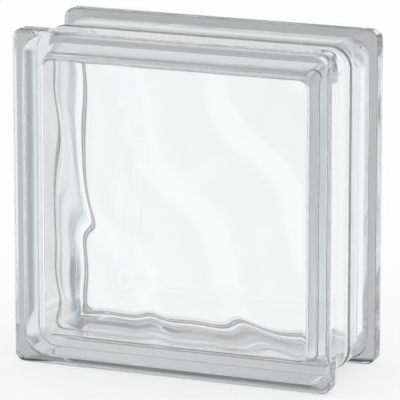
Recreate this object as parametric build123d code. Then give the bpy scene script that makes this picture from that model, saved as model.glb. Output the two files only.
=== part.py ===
"""Hollow glass block with wavy panes: two pressed glass halves fused round the middle into one sealed body.

Millimetres. The block stands as it is laid in a wall: +Z is up, +X runs along the wall and the front pane
faces -Y. The origin is at the centre of the base. Depths named "out" are measured from the fused middle
plane towards a face.
"""

import math
import os

from build123d import *

# Overall size of the block
FACE_WIDTH = 190.0
FACE_HEIGHT = 190.0
DEPTH = 80.0

# Lip round each face, the part that shows as a frame and that the block rests on
LIP_THICKNESS = 10.0
LIP_CORNER_RADIUS = 6.0
LIP_FACE_ROUNDING = 3.0
LIP_BACK_ROUNDING = 1.5

# Mortar groove between the two lips, all round the edge
GROOVE_DEPTH = 4.2
GROOVE_CORNER_RADIUS = 12.0
SHOULDER_RUN = 2.0
SHOULDER_ROUNDING = 2.0

# Walls of the sealed cavity, drafted so that they are thinnest at the fused middle
WALL_AT_MIDDLE = 6.8
WALL_AT_FACE = 12.5
CAVITY_CORNER_RADIUS = 6.0
CAVITY_ROUNDING = 2.5

# Panes, with the waves pressed into their inner faces
PANE_THICKNESS = 8.5
WAVE_HEIGHT = 0.5
WAVE_LENGTH = 52.0
WAVE_HEADING_DEGREES = 32.0
WAVE_START_SHARE = 0.33
LEAN_SHARE = 0.8
SWAY_LENGTH = 95.0
SWAY_SHARE = 0.12
SWAY_START_SHARE = 0.95
POINTS_PER_WAVE = 8

# Weld beads squeezed out of the joint when the halves are fused, outside and inside
BEAD_RADIUS = 3.0
BEAD_HEIGHT = 0.5
INNER_BEAD_HEIGHT = 0.3

HALF_DEPTH = DEPTH / 2
CORE_WIDTH = FACE_WIDTH - 2 * GROOVE_DEPTH
CORE_HEIGHT = FACE_HEIGHT - 2 * GROOVE_DEPTH
MIDDLE_WIDTH = CORE_WIDTH - 2 * WALL_AT_MIDDLE
MIDDLE_HEIGHT = CORE_HEIGHT - 2 * WALL_AT_MIDDLE
CAVITY_END_WIDTH = CORE_WIDTH - 2 * WALL_AT_FACE
CAVITY_END_HEIGHT = CORE_HEIGHT - 2 * WALL_AT_FACE


def section(width, height, radius, out):
    """A rounded rectangle parallel to the faces, that far in front of the middle plane."""
    centre = Plane((0, -out, FACE_HEIGHT / 2), x_dir=(1, 0, 0), z_dir=(0, -1, 0))
    return centre * RectangleRounded(width, height, radius)


def edges_at(shape, out):
    """The edges that lie in the plane that far in front of the middle."""
    return shape.edges().filter_by_position(Axis.Y, -out, -out)


def outer_half():
    """Front half of the outside: the lip, its shoulder and half of the groove's floor."""
    lip_back = HALF_DEPTH - LIP_THICKNESS
    groove_end = lip_back - SHOULDER_RUN
    lip_rim = section(FACE_WIDTH, FACE_HEIGHT, LIP_CORNER_RADIUS, lip_back)
    floor_rim = section(CORE_WIDTH, CORE_HEIGHT, GROOVE_CORNER_RADIUS, groove_end)
    half = extrude(lip_rim, LIP_THICKNESS)
    half += loft([lip_rim, floor_rim])
    half += extrude(floor_rim, -groove_end)
    half = fillet(edges_at(half, HALF_DEPTH), LIP_FACE_ROUNDING)
    half = fillet(edges_at(half, lip_back), LIP_BACK_ROUNDING)
    return fillet(edges_at(half, groove_end), SHOULDER_ROUNDING)


def wave(x, z):
    """What the waves add to the pane's thickness at a point of its face: leaning crests that sway."""
    heading = math.radians(WAVE_HEADING_DEGREES)
    along = x * math.cos(heading) + z * math.sin(heading)
    across = z * math.cos(heading) - x * math.sin(heading)
    sway = SWAY_SHARE * math.sin(2 * math.pi * (across / SWAY_LENGTH + SWAY_START_SHARE))
    turn = 2 * math.pi * (along / WAVE_LENGTH + sway + WAVE_START_SHARE)
    return WAVE_HEIGHT * math.sin(turn - LEAN_SHARE * math.sin(turn))


def wavy_face():
    """The front pane's inner face, as wide as the whole block."""
    steps = math.ceil(POINTS_PER_WAVE * max(FACE_WIDTH, FACE_HEIGHT) / WAVE_LENGTH)
    mean = HALF_DEPTH - PANE_THICKNESS
    points = []
    for i in range(steps + 1):
        x = FACE_WIDTH * (i / steps - 1 / 2)
        column = []
        for j in range(steps + 1):
            z = FACE_HEIGHT * (j / steps - 1 / 2)
            column.append((x, wave(x, z) - mean, z + FACE_HEIGHT / 2))
        points.append(column)
    return Face.make_surface_from_array_of_points(points)


def cavity_half():
    """Front half of the sealed air space, from the middle plane to the wavy pane."""
    middle = section(MIDDLE_WIDTH, MIDDLE_HEIGHT, CAVITY_CORNER_RADIUS, 0)
    face = section(CAVITY_END_WIDTH, CAVITY_END_HEIGHT, CAVITY_CORNER_RADIUS, HALF_DEPTH)
    behind_pane = Solid.extrude(wavy_face(), Vector(0, DEPTH, 0))
    half = loft([middle, face]) & behind_pane
    pane_face = half.faces().sort_by(Axis.Y)[0]
    return half.fillet(CAVITY_ROUNDING, pane_face.edges())


def weld_bead(width, height, radius):
    """A round bead whose centre line is a rounded rectangle in the middle plane."""
    path = section(width, height, radius, 0).wire()
    start = path @ 0
    return sweep(Plane(start, z_dir=path % 0) * Circle(BEAD_RADIUS), path)


def glass_block():
    """Both halves, fused, with the cavity inside and a bead on each side of the joint."""
    sunk = BEAD_RADIUS - BEAD_HEIGHT
    outer_bead = weld_bead(CORE_WIDTH - 2 * sunk, CORE_HEIGHT - 2 * sunk, GROOVE_CORNER_RADIUS - sunk)
    inner_sunk = BEAD_RADIUS - INNER_BEAD_HEIGHT
    inner_bead = weld_bead(
        MIDDLE_WIDTH + 2 * inner_sunk, MIDDLE_HEIGHT + 2 * inner_sunk, CAVITY_CORNER_RADIUS + inner_sunk
    )
    front_outer = outer_half()
    front_cavity = cavity_half()
    outside = front_outer + front_outer.rotate(Axis.Z, 180) + outer_bead
    cavity = front_cavity + front_cavity.rotate(Axis.Z, 180) - inner_bead
    return outside - cavity


def main():
    block = glass_block()
    os.makedirs("parts", exist_ok=True)
    export_step(block, "parts/glass_block.step")
    solid = block.solid()
    print("volume", round(solid.volume), "mm3, shells", len(solid.shells()), "valid", solid.is_valid)


main()
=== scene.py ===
"""Clear glass block with wavy panes on a plain studio stage, laid out as an add-on and run as a script."""

import math

import bmesh
import bpy
from bpy.props import FloatProperty, FloatVectorProperty, IntProperty, PointerProperty
from mathutils import Matrix, Vector


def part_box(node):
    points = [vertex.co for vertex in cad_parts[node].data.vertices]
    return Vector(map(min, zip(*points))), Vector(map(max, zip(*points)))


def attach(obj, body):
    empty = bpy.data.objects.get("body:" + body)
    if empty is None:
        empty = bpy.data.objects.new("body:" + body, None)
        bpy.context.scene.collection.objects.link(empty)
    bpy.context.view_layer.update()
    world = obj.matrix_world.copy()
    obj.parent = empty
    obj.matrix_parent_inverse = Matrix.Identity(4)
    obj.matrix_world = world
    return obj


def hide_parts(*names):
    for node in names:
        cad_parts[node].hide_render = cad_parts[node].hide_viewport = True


bl_info = {
    "name": "Wavy Glass Block",
    "version": (1, 0, 0),
    "blender": (4, 5, 0),
    "location": "View3D > Sidebar > Glass Block",
    "description": "Builds a pressed glass block with wavy panes and the studio stage it stands on",
    "category": "Add Mesh",
}

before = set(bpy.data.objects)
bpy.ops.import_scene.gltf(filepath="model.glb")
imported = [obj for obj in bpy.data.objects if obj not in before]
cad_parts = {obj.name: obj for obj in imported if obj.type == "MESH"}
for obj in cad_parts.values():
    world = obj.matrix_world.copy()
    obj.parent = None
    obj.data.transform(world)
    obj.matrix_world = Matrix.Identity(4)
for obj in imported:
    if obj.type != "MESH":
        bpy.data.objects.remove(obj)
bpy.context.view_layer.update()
BLOCK_LOW, BLOCK_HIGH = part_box("glass_block")
FACE_WIDTH = BLOCK_HIGH.x - BLOCK_LOW.x
DEPTH = BLOCK_HIGH.y - BLOCK_LOW.y
FACE_HEIGHT = BLOCK_HIGH.z - BLOCK_LOW.z
MM = 0.001

# Two points nearer than this are taken as one
CLOSE = 1e-6

# How bright the surroundings are at each elevation, for light that comes straight through the glass
THROUGH_LEVELS = (
    (-90, 1.0), (-50, 0.9), (-30, 0.8), (-20, 1.0), (-14, 0.97), (-10, 0.96), (-3, 0.6), (8, 0.1), (90, 0.2),
)

# The same for light that turns back inside the glass
TURNED_LEVELS = (
    (-90, 0.0), (-60, 0.3), (-45, 0.7), (-30, 1.0), (0, 1.0), (13, 0.7), (30, 0.8), (45, 0.4), (90, 0.3),
)

# Dark cards at both sides, for light that comes straight through: where their edge lies, from 0 at the
# sides to 1 at the front and back, and how bright it is on either side of that edge
SIDE_CARDS = {"From Min": 0.45, "From Max": 0.65, "To Min": 0.25, "To Max": 1.0}

# Grey cards in front and behind, for light that turns back inside the glass
FACING_CARDS = {"From Min": 0.88, "From Max": 0.94, "To Min": 1.0, "To Max": 0.45}

# How much of the light shows through a lip, which it enters and leaves once, and through both panes
SOLID_SHARE = {"From Min": 2.0, "From Max": 4.0, "To Min": 0.5, "To Max": 1.0}

# How often light may pass or turn in the glass before it is given up
PASSES = 40
TURNS = 20

# Half the floor's width, in metres
FLOOR_REACH = 3

# Camera at the photograph's viewing angle: round from the front, up from level, how far off and aimed where
CAMERA_AZIMUTH = math.radians(23.1)
CAMERA_ELEVATION = math.radians(13.0)
CAMERA_DISTANCE = 2.275
CAMERA_TARGET = Vector((0.00152, 0, 0.09296))

# Width of the camera's sensor and length of its lens, in millimetres
SENSOR_WIDTH = 36
LENS = 368.1


def from_hex(code):
    """The linear colour of an sRGB hex value."""
    shares = [int(code[i:i + 2], 16) / 255 for i in (0, 2, 4)]
    return [c / 12.92 if c <= 0.04045 else ((c + 0.055) / 1.055) ** 2.4 for c in shares]


def sine(degrees):
    """Sine of an angle in degrees: the height of a direction at that elevation."""
    return math.sin(math.radians(degrees))


def away_from(azimuth, elevation):
    """Direction at an azimuth, counted from the front towards the right, and an elevation."""
    level = math.cos(elevation)
    return Vector((math.sin(azimuth) * level, -math.cos(azimuth) * level, math.sin(elevation)))


def length(name, description, millimetres):
    """A size that a user may change, shown in the scene's units."""
    return FloatProperty(
        name=name, description=description, default=millimetres * MM, min=0, unit="LENGTH", precision=5
    )


class GlassBlockSizes(bpy.types.PropertyGroup):
    """Sizes of the pressed glass."""

    lip: length("Lip", "Thickness of the lip round each face", 10)
    lip_corner: length("Lip corner", "Corner radius of the face's outline", 6)
    lip_face_rounding: length("Face edge", "Rounding between the face and the lip's rim", 3)
    lip_back_rounding: length("Lip back edge", "Rounding between the lip's rim and the groove", 1.5)
    groove: length("Groove", "Depth of the mortar groove", 4.2)
    groove_corner: length("Groove corner", "Corner radius of the groove's floor", 12)
    shoulder: length("Shoulder", "Run of the slope from the lip's rim to the groove's floor", 2)
    shoulder_rounding: length("Shoulder foot", "Rounding at the foot of the shoulder", 2)
    wall_at_middle: length("Wall at middle", "Wall of the air space at the fused joint", 6.8)
    wall_at_face: length("Wall at face", "Wall of the air space, carried on to the face's plane", 12.5)
    cavity_corner: length("Inner corner", "Corner radius of the air space", 6)
    cavity_rounding: length("Inner edge", "Rounding between the wall and the pane", 2.5)
    pane: length("Pane", "Mean thickness of a pane", 8.5)
    bead_radius: length("Bead radius", "Radius of the weld beads", 3)
    bead: length("Bead", "Height of the weld bead in the groove", 0.5)
    inner_bead: length("Inner bead", "Height of the weld bead in the air space", 0.3)
    wave: length("Wave", "Height of the waves above the pane's mean face", 0.5)
    wave_fade: length("Wave fade", "Depth of the wall over which the waves die out", 5)
    wave_length: length("Wave length", "From one crest to the next", 52)
    wave_heading: FloatProperty(
        name="Heading", description="Way the waves run, from level", default=math.radians(32), subtype="ANGLE"
    )
    wave_start: FloatProperty(name="Start", description="Share of a wave before the centre", default=0.33)
    lean: FloatProperty(name="Lean", description="How far the crests lean over", default=0.8)
    sway: FloatProperty(name="Sway", description="Share of a wave that the crests sway by", default=0.12)
    sway_length: length("Sway length", "From one sway to the next along a crest", 95)
    sway_start: FloatProperty(
        name="Sway start", description="Share of a sway before the centre", default=0.95
    )
    grid: length("Grid", "Spacing of the mesh on the wavy panes", 2.5)
    line_slowness: FloatProperty(
        name="Press lines", description="How slowly the press lines change along a side", default=0.03
    )


class GlassBlockLook(bpy.types.PropertyGroup):
    """Finish of the glass, colour of the floor and fineness of the mesh."""

    tint: FloatVectorProperty(
        name="Tint", description="Colour that thick glass takes", subtype="COLOR", default=from_hex("D4E2E8")
    )
    tint_strength: FloatProperty(
        name="Tint strength", description="How soon the tint shows, for each metre of glass", default=4, min=0
    )
    line_spacing: length("Line spacing", "From one press line to the next", 4)
    line_relief: length("Line relief", "Height of the press lines", 0.25)
    coat_clearness: FloatProperty(
        name="Coat clearness", description="Share of light that the groove's coat lets through", default=0.75
    )
    coat_roughness: FloatProperty(
        name="Coat roughness", description="How much the groove's coat blurs", default=0.1
    )
    # Base colour of the weld bead: painted shade, darker than the clear glass, standing in for the bead's
    # shaded line
    seam_shade_lightness: FloatProperty(
        name="Seam lightness", description="How light the weld seam in the groove is", default=0.2
    )
    floor: FloatVectorProperty(
        name="Floor", description="Colour of the floor", subtype="COLOR", default=from_hex("FCFCFC")
    )
    floor_whiteness: FloatProperty(
        name="Floor whiteness", description="Share of plain white in the floor as it shows", default=0.6
    )
    corner_steps: IntProperty(name="Corner steps", description="Faces round each corner", default=12, min=3)
    rounding_steps: IntProperty(
        name="Rounding steps", description="Faces across each rounded edge", default=8, min=2
    )


def ring(bm, width, height, radius, out, steps):
    """A filled rounded rectangle parallel to the faces, that far in front of the middle plane."""
    place = Matrix.Translation((0, -out, FACE_HEIGHT / 2))
    place @= Matrix.Rotation(math.pi / 2, 4, "X") @ Matrix.Diagonal((width, height, 1, 1))
    corners = bmesh.ops.create_grid(bm, x_segments=1, y_segments=1, size=0.5, matrix=place)["verts"]
    bmesh.ops.bevel(
        bm, geom=corners, offset=radius, offset_type="OFFSET", affect="VERTICES",
        segments=steps, profile=0.5, material=-1,
    )
    bm.faces.ensure_lookup_table()
    return bm.faces[-1]


def stack(bm, sections, steps):
    """Rounded rectangles joined into one skin: the first stays as its end face, the last is left open."""
    faces = [ring(bm, *section, steps) for section in sections]
    loops = [list(face.edges) for face in faces]
    bmesh.ops.delete(bm, geom=faces[1:], context="FACES_ONLY")
    for near, far in zip(loops, loops[1:]):
        bmesh.ops.bridge_loops(bm, edges=near + far)


def round_edges(bm, out, radius, turn, steps):
    """Rounds the edges in one plane, where the surface turns by that angle."""
    edges = [e for e in bm.edges if all(abs(v.co.y + out) < CLOSE for v in e.verts)]
    bmesh.ops.bevel(
        bm, geom=edges, offset=radius * math.tan(turn / 2), offset_type="OFFSET", affect="EDGES",
        segments=steps, profile=0.5, material=-1,
    )


def add_twin(bm):
    """The back half: the front half turned round the upright axis and fused to it."""
    geometry = bm.verts[:] + bm.edges[:] + bm.faces[:]
    copied = bmesh.ops.duplicate(bm, geom=geometry)["geom"]
    verts = [v for v in copied if isinstance(v, bmesh.types.BMVert)]
    bmesh.ops.rotate(bm, verts=verts, cent=(0, 0, 0), matrix=Matrix.Rotation(math.pi, 3, "Z"))
    bmesh.ops.remove_doubles(bm, verts=bm.verts[:], dist=CLOSE)
    bmesh.ops.recalc_face_normals(bm, faces=bm.faces[:])


def mark_press_lines(bm, sizes):
    """Stores at each point how the lines left by the press run: along the lips, with none on the panes."""
    pane_edge = FACE_WIDTH / 2 - sizes.groove - sizes.wall_at_face
    lip_back = DEPTH / 2 - sizes.lip
    layer = bm.verts.layers.float_vector.new("press_lines")
    for vert in bm.verts:
        across, up = abs(vert.co.x), abs(vert.co.z - FACE_HEIGHT / 2)
        out = max(abs(vert.co.y), lip_back)
        vert[layer] = (max(across, up, pane_edge), out, sizes.line_slowness * min(across, up))


def bead_profile(radius, height, steps):
    """Points of half a weld bead, from its foot to its crest: how far out, and how far it stands up."""
    sunk = radius - height
    foot = math.acos(sunk / radius)
    angles = [foot * (1 - i / steps) for i in range(steps + 1)]
    return [(radius * math.sin(a), radius * math.cos(a) - sunk) for a in angles]


def outer_skin(sizes, look):
    """Lips, shoulders, groove and weld bead."""
    half_depth = DEPTH / 2
    lip_back = half_depth - sizes.lip
    foot = lip_back - sizes.shoulder
    core_width = FACE_WIDTH - 2 * sizes.groove
    core_height = FACE_HEIGHT - 2 * sizes.groove
    sections = [
        (FACE_WIDTH, FACE_HEIGHT, sizes.lip_corner, half_depth),
        (FACE_WIDTH, FACE_HEIGHT, sizes.lip_corner, lip_back),
        (core_width, core_height, sizes.groove_corner, foot),
    ]
    bead = bead_profile(sizes.bead_radius, sizes.bead, look.rounding_steps)
    for out, rise in bead:
        sections.append((core_width + 2 * rise, core_height + 2 * rise, sizes.groove_corner + rise, out))
    bm = bmesh.new()
    stack(bm, sections, look.corner_steps)
    slope = math.atan2(sizes.groove, sizes.shoulder)
    round_edges(bm, half_depth, sizes.lip_face_rounding, math.pi / 2, look.rounding_steps)
    round_edges(bm, lip_back, sizes.lip_back_rounding, slope, look.rounding_steps)
    round_edges(bm, foot, sizes.shoulder_rounding, slope, look.rounding_steps)
    add_twin(bm)
    mark_press_lines(bm, sizes)
    coat = bm.faces.layers.float.new("edge_coat")
    # The weld bead's faces are marked for painted shade: the glass's base colour is darkened there
    seam = bm.faces.layers.float.new("seam_painted_shade")
    for face in bm.faces:
        out = abs(face.calc_center_median().y)
        face[coat] = float(out < foot)
        face[seam] = float(out < bead[0][0])
    return bm


def wave_at(sizes, x, z):
    """What the waves add to the pane's thickness at a point of its face: leaning crests that sway."""
    along = x * math.cos(sizes.wave_heading) + z * math.sin(sizes.wave_heading)
    across = z * math.cos(sizes.wave_heading) - x * math.sin(sizes.wave_heading)
    sway = sizes.sway * math.sin(2 * math.pi * (across / sizes.sway_length + sizes.sway_start))
    turn = 2 * math.pi * (along / sizes.wave_length + sway + sizes.wave_start)
    return sizes.wave * math.sin(turn - sizes.lean * math.sin(turn))


def cut_grid(bm, spacing, axis, span, middle):
    """Cuts the skin by evenly spaced planes across one axis."""
    normal = Vector((0, 0, 0))
    normal[axis] = 1
    count = math.floor(span / spacing)
    for i in range(count + 1):
        point = normal * (middle + spacing * (i - count / 2))
        geometry = bm.verts[:] + bm.edges[:] + bm.faces[:]
        bmesh.ops.bisect_plane(bm, geom=geometry, dist=CLOSE, plane_co=point, plane_no=normal)


def inner_skin(sizes, look):
    """Walls and wavy panes of the sealed air space, with the weld bead inside."""
    half_depth = DEPTH / 2
    pane_out = half_depth - sizes.pane
    core_width = FACE_WIDTH - 2 * sizes.groove
    core_height = FACE_HEIGHT - 2 * sizes.groove

    def section(out, rise):
        wall = sizes.wall_at_middle + (sizes.wall_at_face - sizes.wall_at_middle) * out / half_depth + rise
        return core_width - 2 * wall, core_height - 2 * wall, sizes.cavity_corner, out

    sections = [section(pane_out, 0)]
    for out, rise in bead_profile(sizes.bead_radius, sizes.inner_bead, look.rounding_steps):
        sections.append(section(out, rise))
    bm = bmesh.new()
    stack(bm, sections, look.corner_steps)
    round_edges(bm, pane_out, sizes.cavity_rounding, math.pi / 2, look.rounding_steps)
    cut_grid(bm, sizes.grid, 0, core_width, 0)
    cut_grid(bm, sizes.grid, 2, core_height, FACE_HEIGHT / 2)
    start = pane_out - sizes.cavity_rounding - sizes.wave_fade
    for vert in bm.verts:
        share = min(max((-vert.co.y - start) / sizes.wave_fade, 0), 1)
        vert.co.y += share * wave_at(sizes, vert.co.x, vert.co.z - FACE_HEIGHT / 2)
    add_twin(bm)
    bm.verts.layers.float_vector.new("press_lines")
    bm.faces.layers.float.new("edge_coat")
    bm.faces.layers.float.new("seam_painted_shade")
    bmesh.ops.reverse_faces(bm, faces=bm.faces[:])
    return bm


def add_node(tree, kind, links=(), **settings):
    """Adds a node, sets its properties and its inputs by name, and links its outputs to other sockets."""
    node = tree.nodes.new(kind)
    for name, value in settings.items():
        if name in node.inputs:
            node.inputs[name].default_value = value
        else:
            setattr(node, name, value)
    for output, socket in links:
        tree.links.new(node.outputs[output], socket)
    return node


def pressed_soda_lime_glass(look):
    """Pressed soda-lime glass: clear and bright, faintly cool where it is thick, with fine lines from the
    press along the lips, a thin milky coat in the mortar groove, and painted shade on the weld bead, whose
    darkened base colour draws the line that the bead's shading makes."""
    material = bpy.data.materials.new("pressed_soda_lime_glass")
    material.use_nodes = True
    tree = material.node_tree
    tree.nodes.clear()
    end = add_node(tree, "ShaderNodeOutputMaterial")
    glass = add_node(
        tree, "ShaderNodeBsdfPrincipled", [("BSDF", end.inputs["Surface"])], IOR=1.52
    )
    masks = (
        # The weld bead gets a darker base colour: painted shade for the line of the bead's shading
        ("seam_painted_shade", "Base Color", 1.0, look.seam_shade_lightness),
        ("edge_coat", "Transmission Weight", 1.0, look.coat_clearness),
        ("edge_coat", "Roughness", 0.0, look.coat_roughness),
    )
    for mask, socket, clear, covered in masks:
        level = add_node(
            tree, "ShaderNodeMapRange", [("Result", glass.inputs[socket])],
            **{"To Min": clear, "To Max": covered},
        )
        add_node(tree, "ShaderNodeAttribute", [("Fac", level.inputs["Value"])], attribute_name=mask)
    lines = add_node(
        tree, "ShaderNodeBump", [("Normal", glass.inputs["Normal"])], Strength=1.0, Distance=look.line_relief
    )
    noise = add_node(
        tree, "ShaderNodeTexNoise", [("Fac", lines.inputs["Height"])], Scale=1 / look.line_spacing, Detail=2.0
    )
    add_node(tree, "ShaderNodeAttribute", [("Vector", noise.inputs["Vector"])], attribute_name="press_lines")
    add_node(
        tree, "ShaderNodeVolumeAbsorption", [("Volume", end.inputs["Volume"])],
        Color=(*look.tint, 1), Density=look.tint_strength,
    )
    return material


def matt_white_paper(look):
    """Matt white paper: an even white ground that keeps a light shadow."""
    material = bpy.data.materials.new("matt_white_paper")
    material.use_nodes = True
    tree = material.node_tree
    tree.nodes.clear()
    end = add_node(tree, "ShaderNodeOutputMaterial")
    mix = add_node(tree, "ShaderNodeMixShader", [("Shader", end.inputs["Surface"])])
    add_node(
        tree, "ShaderNodeBsdfPrincipled", [("BSDF", mix.inputs[1])],
        **{"Base Color": (*look.floor, 1), "Roughness": 0.9},
    )
    add_node(tree, "ShaderNodeEmission", [("Emission", mix.inputs[2])], Color=(1, 1, 1, 1), Strength=1.0)
    share = add_node(tree, "ShaderNodeMath", [("Value", mix.inputs["Fac"])], operation="MULTIPLY")
    share.inputs[1].default_value = look.floor_whiteness
    add_node(tree, "ShaderNodeLightPath", [("Is Camera Ray", share.inputs[0])])
    return material


class GLASSBLOCK_OT_block(bpy.types.Operator):
    """Builds the hollow block of pressed glass."""

    bl_idname = "glassblock.block"
    bl_label = "Glass Block"

    def execute(self, context):
        sizes, look = context.scene.glass_block_sizes, context.scene.glass_block_look
        mesh = bpy.data.meshes.new("clear_block")
        whole = bmesh.new()
        for skin in (outer_skin(sizes, look), inner_skin(sizes, look)):
            part = bpy.data.meshes.new("skin")
            skin.to_mesh(part)
            skin.free()
            whole.from_mesh(part)
            bpy.data.meshes.remove(part)
        for face in whole.faces:
            face.smooth = True
        whole.to_mesh(mesh)
        whole.free()
        mesh.materials.append(pressed_soda_lime_glass(look))
        block = bpy.data.objects.new("clear_block", mesh)
        context.scene.collection.objects.link(block)
        normals = block.modifiers.new("face normals", "WEIGHTED_NORMAL")
        normals.mode = "FACE_AREA"
        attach(block, "root")
        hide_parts("glass_block")
        return {"FINISHED"}


class GLASSBLOCK_OT_stage(bpy.types.Operator):
    """Builds the floor, the light and the camera."""

    bl_idname = "glassblock.stage"
    bl_label = "Studio Stage"

    def execute(self, context):
        scene, look = context.scene, context.scene.glass_block_look
        self.floor(scene, look)
        self.surround(scene)
        self.camera(scene)
        scene.view_settings.view_transform = "Standard"
        scene.cycles.max_bounces = PASSES
        scene.cycles.transmission_bounces = PASSES
        scene.cycles.glossy_bounces = TURNS
        return {"FINISHED"}

    def floor(self, scene, look):
        """A level sheet of paper. Light in the glass passes it by and finds the studio's cards instead."""
        bm = bmesh.new()
        bmesh.ops.create_grid(bm, x_segments=1, y_segments=1, size=FLOOR_REACH)
        mesh = bpy.data.meshes.new("floor")
        bm.to_mesh(mesh)
        bm.free()
        mesh.materials.append(matt_white_paper(look))
        floor = bpy.data.objects.new("floor", mesh)
        floor.visible_transmission = False
        floor.visible_glossy = False
        scene.collection.objects.link(floor)

    def surround(self, scene):
        """White all round for the camera and the floor. Light in the glass finds grey surroundings and cards,
        which draw its edges, and the solid lips look greyer than the panes."""
        world = bpy.data.worlds.new("studio")
        scene.world = world
        world.use_nodes = True
        tree = world.node_tree
        background = tree.nodes["Background"]
        background.inputs["Color"].default_value = (1, 1, 1, 1)
        shown = add_node(
            tree, "ShaderNodeMapRange", [("Result", background.inputs["Strength"])], **{"To Min": 1.0}
        )
        turned = add_node(tree, "ShaderNodeMapRange", [("Result", shown.inputs["To Max"])])
        glass = add_node(
            tree, "ShaderNodeMath", [("Value", shown.inputs["Value"])], operation="SUBTRACT", use_clamp=True
        )
        either = add_node(tree, "ShaderNodeMath", [("Value", glass.inputs[0])], operation="MAXIMUM")
        through = add_node(tree, "ShaderNodeMath", [("Value", turned.inputs["To Min"])], operation="MULTIPLY")
        solid = add_node(tree, "ShaderNodeMapRange", [("Result", through.inputs[1])], **SOLID_SHARE)
        add_node(
            tree, "ShaderNodeLightPath",
            [
                ("Is Glossy Ray", either.inputs[0]), ("Is Transmission Ray", either.inputs[1]),
                ("Diffuse Depth", glass.inputs[1]), ("Glossy Depth", turned.inputs["Value"]),
                ("Transmission Depth", solid.inputs["Value"]),
            ],
        )
        height = add_node(tree, "ShaderNodeMapRange", **{"From Min": -1.0})
        facing = add_node(tree, "ShaderNodeMath", operation="ABSOLUTE")
        apart = add_node(
            tree, "ShaderNodeSeparateXYZ", [("Z", height.inputs["Value"]), ("Y", facing.inputs[0])]
        )
        add_node(tree, "ShaderNodeTexCoord", [("Generated", apart.inputs["Vector"])])
        tables = (
            (THROUGH_LEVELS, SIDE_CARDS, through.inputs[0]),
            (TURNED_LEVELS, FACING_CARDS, turned.inputs["To Max"]),
        )
        for levels, cards, socket in tables:
            both = add_node(tree, "ShaderNodeMath", [("Value", socket)], operation="MULTIPLY")
            ramp = add_node(tree, "ShaderNodeValToRGB", [("Color", both.inputs[0])])
            ramp.color_ramp.interpolation = "EASE"
            stops = ramp.color_ramp.elements
            stops.remove(stops[0])
            for elevation, level in levels:
                stop = stops.new((sine(elevation) + 1) / 2)
                stop.color = (level, level, level, 1)
            stops.remove(stops[-1])
            card = add_node(
                tree, "ShaderNodeMapRange", [("Result", both.inputs[1])],
                interpolation_type="SMOOTHSTEP", **cards,
            )
            tree.links.new(height.outputs["Result"], ramp.inputs["Fac"])
            tree.links.new(facing.outputs["Value"], card.inputs["Value"])

    def camera(self, scene):
        """A long lens that looks down a little on the block's front and right side."""
        away = away_from(CAMERA_AZIMUTH, CAMERA_ELEVATION)
        data = bpy.data.cameras.new("camera")
        data.sensor_width = SENSOR_WIDTH
        data.lens = LENS
        camera = bpy.data.objects.new("camera", data)
        camera.location = CAMERA_TARGET + away * CAMERA_DISTANCE
        camera.rotation_euler = away.to_track_quat("Z", "Y").to_euler()
        scene.collection.objects.link(camera)
        scene.camera = camera


class GLASSBLOCK_PT_panel(bpy.types.Panel):
    """Lists the sizes and the steps."""

    bl_idname = "GLASSBLOCK_PT_panel"
    bl_label = "Glass Block"
    bl_space_type = "VIEW_3D"
    bl_region_type = "UI"
    bl_category = "Glass Block"

    def draw(self, context):
        for group in (context.scene.glass_block_sizes, context.scene.glass_block_look):
            for name in group.__annotations__:
                self.layout.prop(group, name)
        for operator in (GLASSBLOCK_OT_block, GLASSBLOCK_OT_stage):
            self.layout.operator(operator.bl_idname)


CLASSES = (GlassBlockSizes, GlassBlockLook, GLASSBLOCK_OT_block, GLASSBLOCK_OT_stage, GLASSBLOCK_PT_panel)


def register():
    for cls in CLASSES:
        bpy.utils.register_class(cls)
    bpy.types.Scene.glass_block_sizes = PointerProperty(type=GlassBlockSizes)
    bpy.types.Scene.glass_block_look = PointerProperty(type=GlassBlockLook)


def unregister():
    del bpy.types.Scene.glass_block_look
    del bpy.types.Scene.glass_block_sizes
    for cls in reversed(CLASSES):
        bpy.utils.unregister_class(cls)


def main():
    register()
    bpy.ops.glassblock.block()
    bpy.ops.glassblock.stage()


if __name__ == "__main__":
    main()
